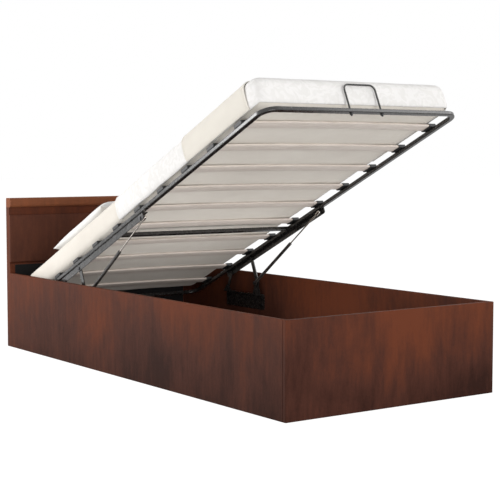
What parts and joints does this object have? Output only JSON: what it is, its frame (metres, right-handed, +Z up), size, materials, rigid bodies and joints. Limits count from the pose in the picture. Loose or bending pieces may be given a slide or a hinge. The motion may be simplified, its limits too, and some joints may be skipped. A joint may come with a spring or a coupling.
{
  "type": "ottoman bed",
  "caption": "Single ottoman bed: leathercloth storage base and headboard, slatted steel deck that lifts on links and gas struts, with mattress, quilt, runner and pillow.",
  "frame": {"origin": "on the floor under the middle of the bed", "axes": "+Z up, +Y towards the headboard, +X to the right seen from the foot end"},
  "size_m": [0.95, 2.12, 1.1307],
  "materials": {
    "leathercloth": "antiqued leathercloth in mottled reddish brown, satin",
    "black_lining": "black non-woven lining",
    "board": "hardboard and softwood, unfinished",
    "black_steel": "black powder coat, semi-gloss",
    "zinc": "zinc plated",
    "bright_rod": "hard chromed rod",
    "slat_wood": "bentwood slat with a pale pinkish film",
    "cap_plastic": "black moulded cap",
    "mattress_cloth": "off-white mattress ticking",
    "quilt_cloth": "white cotton bed cover",
    "runner_cloth": "beige throw",
    "pillow_cloth": "white cotton pillow case"
  },
  "bodies": {
    "base": {"side_panel_left": "leathercloth", "side_panel_right": "leathercloth", "foot_panel": "leathercloth", "headboard_lower": "leathercloth", "headboard_upper": "leathercloth", "headboard_pad": "leathercloth", "headboard_roll": "leathercloth", "headboard_lining": "black_lining", "bottom_batten_foot": "board", "bottom_batten_middle": "board", "bottom_batten_head": "board", "bottom_board_foot": "board", "bottom_board_head": "board", "corner_brackets": "black_steel", "bracket_screws": "zinc", "lift_bracket_left": "black_steel", "lift_bracket_right": "black_steel", "lift_bracket_bolts": "zinc", "base_pivot_pins": "zinc"},
    "front_links": {"front_link_left": "black_steel", "front_link_right": "black_steel"},
    "rear_links": {"rear_link_left": "black_steel", "rear_link_right": "black_steel"},
    "strut_cylinders": {"strut_cylinder_left": "black_steel", "strut_cylinder_right": "black_steel"},
    "strut_rods": {"strut_rod_left": "bright_rod", "strut_rod_right": "bright_rod"},
    "deck": {"side_rail_left": "black_steel", "side_rail_right": "black_steel", "foot_bow": "black_steel", "head_bow": "black_steel", "rail_sleeves": "black_steel", "cross_tube": "black_steel", "slat_1": "slat_wood", "slat_2": "slat_wood", "slat_3": "slat_wood", "slat_4": "slat_wood", "slat_5": "slat_wood", "slat_6": "slat_wood", "slat_7": "slat_wood", "slat_8": "slat_wood", "slat_9": "slat_wood", "slat_10": "slat_wood", "slat_caps_left": "cap_plastic", "slat_caps_right": "cap_plastic", "carrier_left": "black_steel", "carrier_right": "black_steel", "carrier_flat_left": "black_steel", "carrier_flat_right": "black_steel", "carrier_bolts": "zinc", "deck_pivot_pins": "zinc", "mattress_stop_hoop": "black_steel", "hoop_nuts": "zinc", "mattress": "mattress_cloth", "quilt": "quilt_cloth", "runner": "runner_cloth", "pillow": "pillow_cloth"}
  },
  "joints": [
    {"name": "lift", "type": "hinge", "parent": "base", "child": "front_links", "pos_m": [0, 0.37099, 0.29266], "axis": [1, 0, 0], "range_deg": [-67, 0], "stiffness_Nm_per_rad": 700, "springref_deg": 12.49},
    {"name": "deck_tilt", "type": "hinge", "parent": "front_links", "child": "deck", "pos_m": [0, 0.41592, 0.39852], "axis": [1, 0, 0], "range_deg": [0, 91.51]},
    {"name": "rear_link_turn", "type": "hinge", "parent": "base", "child": "rear_links", "pos_m": [0, 0.6045, 0.2575], "axis": [1, 0, 0], "range_deg": [-80.72, 0]},
    {"name": "strut_swing", "type": "hinge", "parent": "base", "child": "strut_cylinders", "pos_m": [0, 0.37099, 0.29266], "axis": [1, 0, 0], "range_deg": [0, 36.21]},
    {"name": "strut_slide", "type": "slide", "parent": "strut_cylinders", "child": "strut_rods", "axis": [0, -0.8069, 0.5906], "range_m": [-0.1298, 0]}
  ],
  "couplings": [
    {"joint": "deck_tilt", "follows": "lift", "ratio": -1.3657},
    {"joint": "rear_link_turn", "follows": "lift", "ratio": 1.2047},
    {"joint": "strut_swing", "follows": "lift", "ratio": -0.54033},
    {"joint": "strut_slide", "follows": "lift", "m_per_rad": 0.11099}
  ]
}
